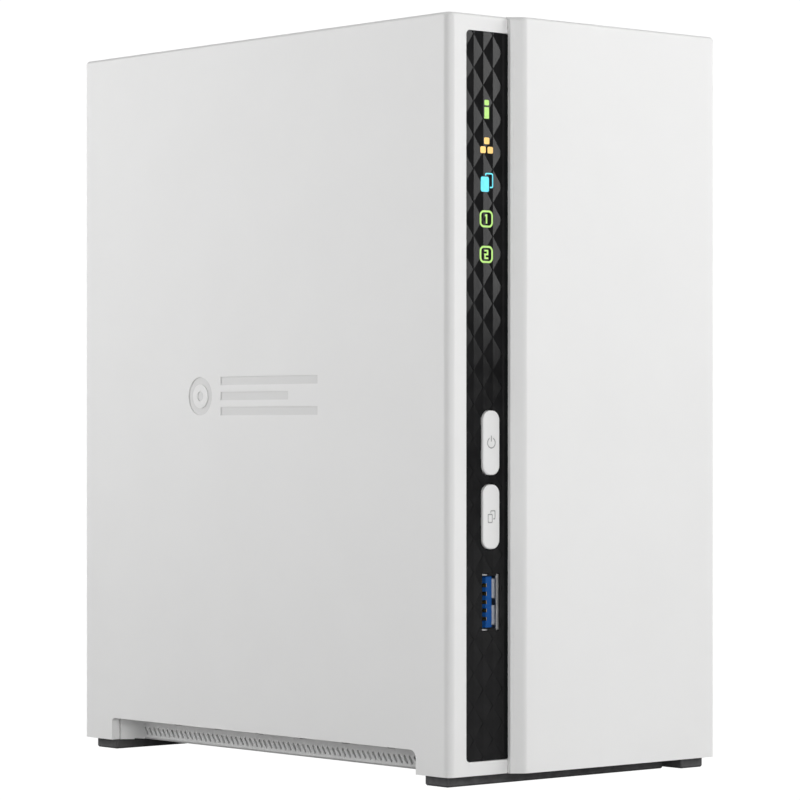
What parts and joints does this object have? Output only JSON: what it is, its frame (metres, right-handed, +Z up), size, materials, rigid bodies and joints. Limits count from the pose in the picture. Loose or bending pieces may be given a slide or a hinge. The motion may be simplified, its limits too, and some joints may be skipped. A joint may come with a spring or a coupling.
{
  "type": "network attached storage",
  "caption": "Tall two-bay desktop network storage unit with a slide-off side cover, faceted black front strip with lit icons, push buttons and a front data socket.",
  "frame": {"origin": "bottom centre of the whole object, on the surface that it stands on", "axes": "+X right as seen from the front, +Y towards the back, +Z up"},
  "size_m": [0.0902, 0.1562, 0.1911],
  "materials": {
    "white_plastic": "fine satin moulded texture",
    "rear_paint": "fine powder coat",
    "zinc_steel": "zinc plated sheet",
    "black_gloss": "gloss with faceted relief",
    "lens_green": "lit lens",
    "lens_amber": "lit lens",
    "lens_cyan": "lit lens",
    "black_plastic": "moulded",
    "grey_plastic": "moulded",
    "led_chip": "clear resin",
    "white_button": "smooth satin",
    "bright_steel": "nickel plated",
    "blue_plastic": "moulded",
    "contact_brass": "gold flashed",
    "circuit_board": "solder mask",
    "chip_black": "epoxy",
    "anodised_aluminium": "anodised",
    "can_aluminium": "rolled can",
    "cast_aluminium": "as cast",
    "copper_winding": "enamelled wire",
    "lead_sleeve": "sleeved lead",
    "screw_steel": "plated",
    "rubber_grey": "matt"
  },
  "bodies": {
    "chassis": {"base_tray": "white_plastic", "battery_holder": "black_plastic", "board_chips": "chip_black", "board_connectors": "black_plastic", "board_power_parts": "can_aluminium", "buzzer": "black_plastic", "case_screws": "screw_steel", "clock_battery": "bright_steel", "copy_lens": "lens_cyan", "cover_screws": "screw_steel", "dc_jack_pin": "bright_steel", "dc_power_jack": "black_plastic", "drive_1_lens": "lens_green", "drive_2_lens": "lens_green", "drive_backplane": "circuit_board", "drive_cage": "zinc_steel", "ethernet_port": "black_plastic", "fan_bearing": "contact_brass", "fan_frame": "black_plastic", "fan_lead": "lead_sleeve", "fan_screws": "screw_steel", "fan_stator": "copper_winding", "foot_bars": "rubber_grey", "front_usb_shell": "bright_steel", "front_usb_tongue": "blue_plastic", "key_switches": "black_plastic", "left_shell": "white_plastic", "light_guide": "black_plastic", "lock_plate": "zinc_steel", "mainboard": "circuit_board", "network_lens": "lens_amber", "rear_panel": "rear_paint", "rear_panel_screws": "screw_steel", "rear_usb_shells": "bright_steel", "rear_usb_tongues": "blue_plastic", "reset_switch": "black_plastic", "soc_heatsink": "anodised_aluminium", "status_leds": "led_chip", "status_lens": "lens_green", "status_panel": "black_gloss", "usb_contacts": "contact_brass"},
    "cover": {"side_cover": "white_plastic", "cover_feet": "rubber_grey"},
    "power_key": {"power_button": "white_button", "power_plunger": "black_plastic"},
    "copy_key": {"copy_button": "white_button", "copy_plunger": "black_plastic"},
    "reset_key": {"reset_button": "black_plastic"},
    "fan_wheel": {"fan_rotor": "black_plastic", "fan_shaft": "bright_steel"},
    "drive_sled_1": {"drive_tray_1": "grey_plastic", "drive_1_case": "cast_aluminium", "drive_1_lid": "zinc_steel", "drive_1_board": "circuit_board", "drive_screws_1": "screw_steel"},
    "drive_sled_2": {"drive_tray_2": "grey_plastic", "drive_2_case": "cast_aluminium", "drive_2_lid": "zinc_steel", "drive_2_board": "circuit_board", "drive_screws_2": "screw_steel"}
  },
  "joints": [
    {"name": "cover_slide", "type": "slide", "parent": "chassis", "child": "cover", "axis": [0, -1, 0], "range_m": [0, 0.165]},
    {"name": "power_press", "type": "slide", "parent": "chassis", "child": "power_key", "axis": [0, 1, 0], "range_m": [0, 0.0005], "stiffness_N_per_m": 2400, "springref_m": -0.0002},
    {"name": "copy_press", "type": "slide", "parent": "chassis", "child": "copy_key", "axis": [0, 1, 0], "range_m": [0, 0.0005], "stiffness_N_per_m": 2400, "springref_m": -0.0002},
    {"name": "reset_press", "type": "slide", "parent": "chassis", "child": "reset_key", "axis": [0, -1, 0], "range_m": [0, 0.0004], "stiffness_N_per_m": 2400, "springref_m": -0.0002},
    {"name": "fan_spin", "type": "hinge", "parent": "chassis", "child": "fan_wheel", "pos_m": [0.008, 0.062, 0.1223], "axis": [0, 1, 0], "continuous": true},
    {"name": "drive_1_lift", "type": "slide", "parent": "chassis", "child": "drive_sled_1", "axis": [0, 0, 1], "range_m": [0, 0.006]},
    {"name": "drive_2_lift", "type": "slide", "parent": "chassis", "child": "drive_sled_2", "axis": [0, 0, 1], "range_m": [0, 0.006]}
  ]
}
